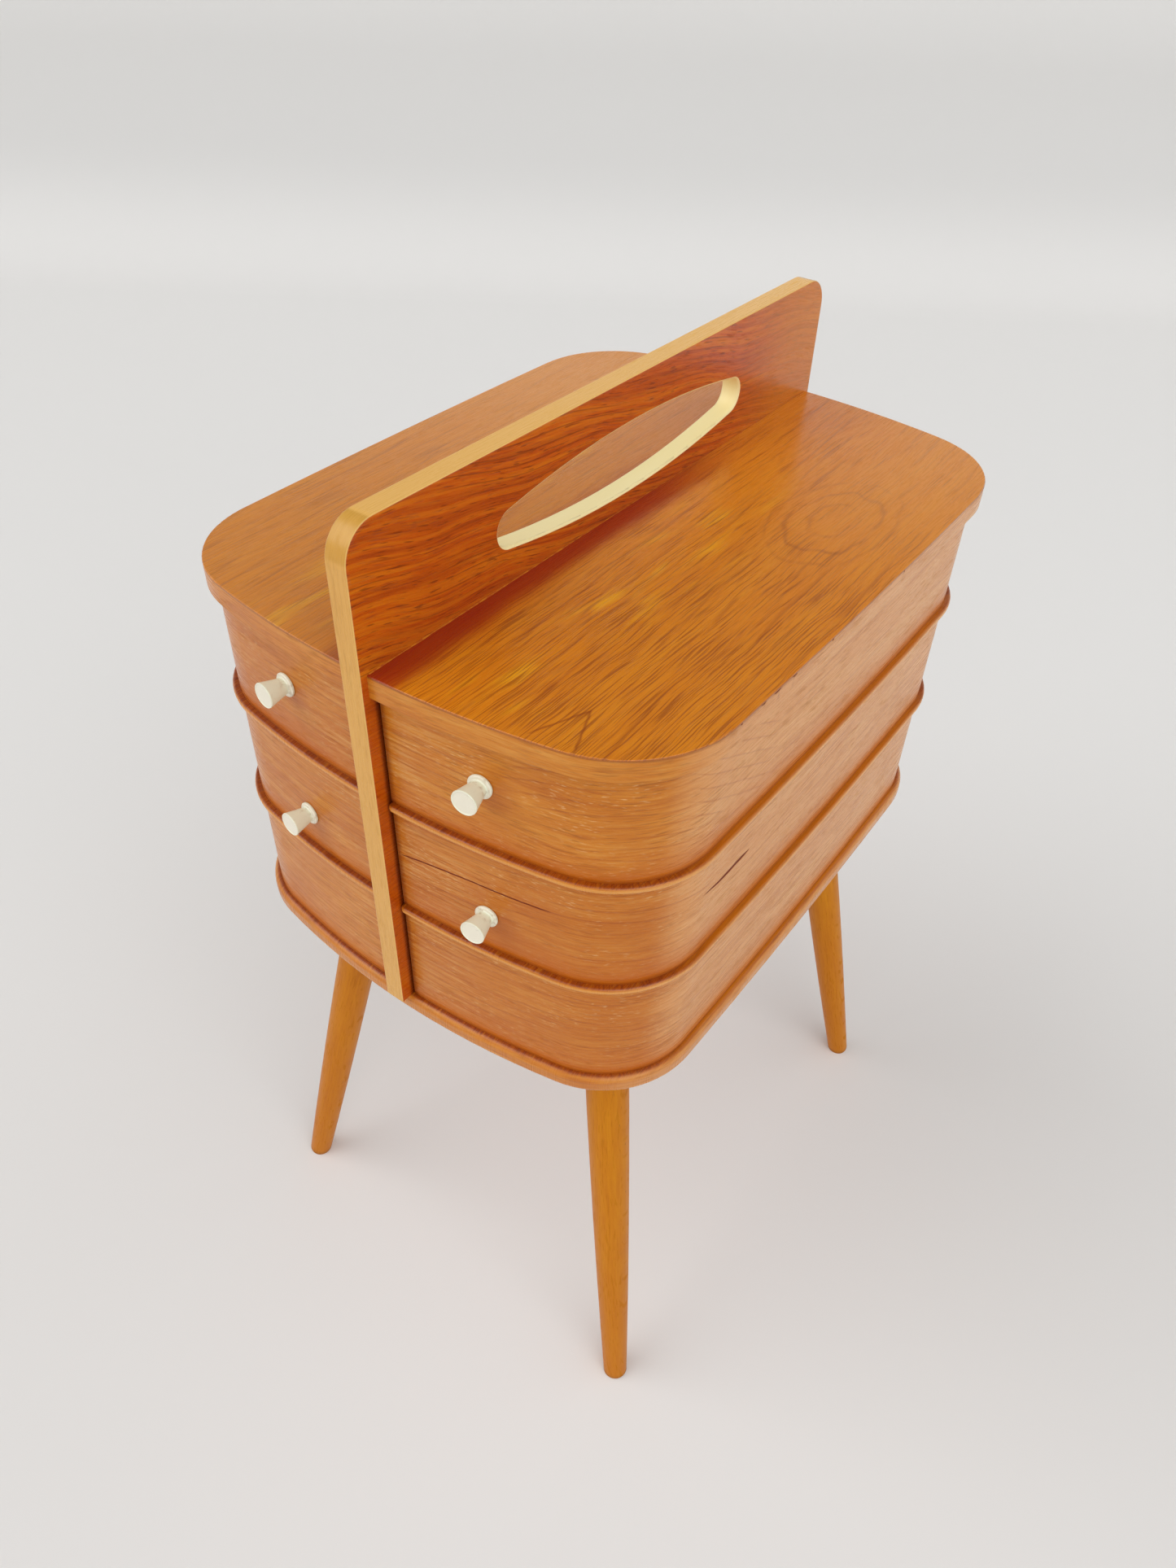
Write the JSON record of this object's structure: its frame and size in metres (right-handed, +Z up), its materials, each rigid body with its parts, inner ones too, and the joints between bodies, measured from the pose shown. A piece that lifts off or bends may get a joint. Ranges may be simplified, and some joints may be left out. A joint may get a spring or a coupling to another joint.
{
  "type": "sewing box with trays",
  "caption": "Wooden sewing box on splayed legs: a centre board with a hand hole, fixed lids, and trays on either side that swing out on upright rods.",
  "frame": {"origin": "middle of the footprint, at the floor", "axes": "+Z up, X across the centre board, -Y towards the knob end"},
  "size_m": [0.316, 0.41, 0.63],
  "materials": {
    "lid_veneer": "satin lacquered open-pore veneer, orange-brown",
    "board_veneer": "satin lacquered veneer, dark wavy streaks",
    "wall_veneer": "satin lacquered bent plywood, grain running round",
    "plate_wood": "stained thin plywood with a rounded edge",
    "base_veneer": "stained plywood with a rounded edge",
    "inner_wood": "pale lacquered plywood and beech",
    "edge_band": "pale lacquered beech",
    "leg_wood": "honey-stained turned beech, satin lacquer",
    "knob_plastic": "aged cream plastic",
    "steel": "plain steel"
  },
  "bodies": {
    "body": {"base_panel": "base_veneer", "board_edge_band": "edge_band", "board_screws": "steel", "centre_board": "board_veneer", "leg_bolts": "steel", "leg_front_left": "leg_wood", "leg_front_right": "leg_wood", "leg_inserts": "steel", "leg_rear_left": "leg_wood", "leg_rear_right": "leg_wood", "lid_dowels": "inner_wood", "lid_edging_left": "wall_veneer", "lid_edging_right": "wall_veneer", "lid_left": "lid_veneer", "lid_right": "lid_veneer", "lower_inner_wall_left": "inner_wood", "lower_inner_wall_right": "inner_wood", "lower_pivot_block_left": "inner_wood", "lower_pivot_block_right": "inner_wood", "lower_wall_front_left": "wall_veneer", "lower_wall_front_right": "wall_veneer", "lower_wall_rear_left": "wall_veneer", "lower_wall_rear_right": "wall_veneer", "pivot_rod_left": "steel", "pivot_rod_right": "steel", "pivot_washers_left": "steel", "pivot_washers_right": "steel"},
    "upper_tray_right": {"upper_tray_wall_right": "wall_veneer", "upper_tray_inner_wall_right": "inner_wood", "upper_tray_bottom_right": "plate_wood", "upper_pivot_block_right": "inner_wood", "upper_knob_right": "knob_plastic", "upper_knob_screw_right": "steel"},
    "upper_tray_left": {"upper_tray_wall_left": "wall_veneer", "upper_tray_inner_wall_left": "inner_wood", "upper_tray_bottom_left": "plate_wood", "upper_pivot_block_left": "inner_wood", "upper_knob_left": "knob_plastic", "upper_knob_screw_left": "steel"},
    "middle_tray_right": {"middle_tray_wall_right": "wall_veneer", "middle_tray_inner_wall_right": "inner_wood", "middle_tray_bottom_right": "plate_wood", "middle_pivot_block_right": "inner_wood", "middle_knob_right": "knob_plastic", "middle_knob_screw_right": "steel"},
    "middle_tray_left": {"middle_tray_wall_left": "wall_veneer", "middle_tray_inner_wall_left": "inner_wood", "middle_tray_bottom_left": "plate_wood", "middle_pivot_block_left": "inner_wood", "middle_knob_left": "knob_plastic", "middle_knob_screw_left": "steel"}
  },
  "joints": [
    {"name": "upper_tray_right_swing", "type": "hinge", "parent": "body", "child": "upper_tray_right", "pos_m": [0.0226, 0.18228, 0.4806], "axis": [0, 0, 1], "range_deg": [0, 90]},
    {"name": "upper_tray_left_swing", "type": "hinge", "parent": "body", "child": "upper_tray_left", "pos_m": [-0.0226, 0.18228, 0.4806], "axis": [0, 0, -1], "range_deg": [0, 90]},
    {"name": "middle_tray_right_swing", "type": "hinge", "parent": "body", "child": "middle_tray_right", "pos_m": [0.0226, 0.18228, 0.4098], "axis": [0, 0, 1], "range_deg": [0, 90]},
    {"name": "middle_tray_left_swing", "type": "hinge", "parent": "body", "child": "middle_tray_left", "pos_m": [-0.0226, 0.18228, 0.4098], "axis": [0, 0, -1], "range_deg": [0, 90]}
  ]
}
